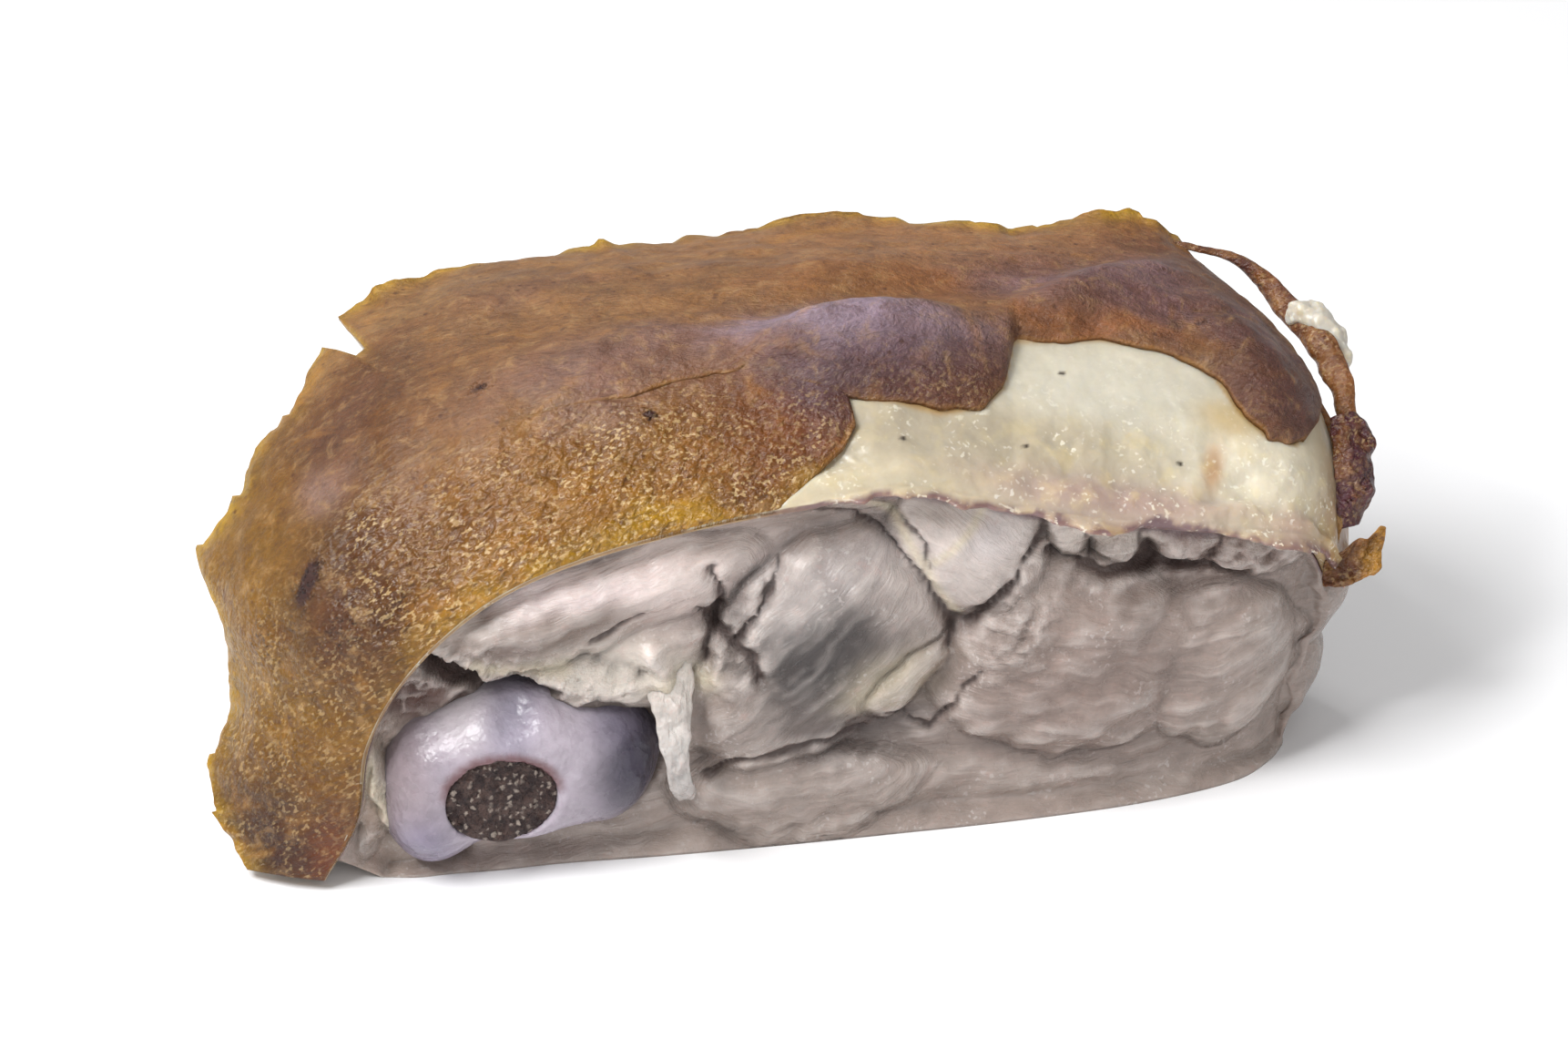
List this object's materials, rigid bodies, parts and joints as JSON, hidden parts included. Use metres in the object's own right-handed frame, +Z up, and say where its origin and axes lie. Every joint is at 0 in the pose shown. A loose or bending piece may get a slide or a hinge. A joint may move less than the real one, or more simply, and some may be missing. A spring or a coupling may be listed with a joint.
{
  "type": "roast suckling pig portion",
  "caption": "Chopped haunch portion of roast suckling pig: domed crackling over fat, torn open at the front, pale meat below and a sawn knuckle with marrow in the cut.",
  "frame": {"origin": "bottom centre of the bounding box, on the flat underside", "axes": "+X to the right along the slab as seen from the front cut, +Y from the front cut to the back cut, +Z up"},
  "size_m": [0.1808, 0.0926, 0.0782],
  "materials": {
    "crackling": "roasted skin, pebbled and greasy, over cream fat",
    "meat": "moist pale cooked pork with fibres and seams",
    "bone": "smooth wet bone and cartilage",
    "marrow": "dark grainy cooked marrow"
  },
  "bodies": {
    "root": {"crackling_and_fat": "crackling", "haunch_meat": "meat", "knuckle_bone": "bone", "bone_marrow": "marrow"}
  },
  "joints": []
}
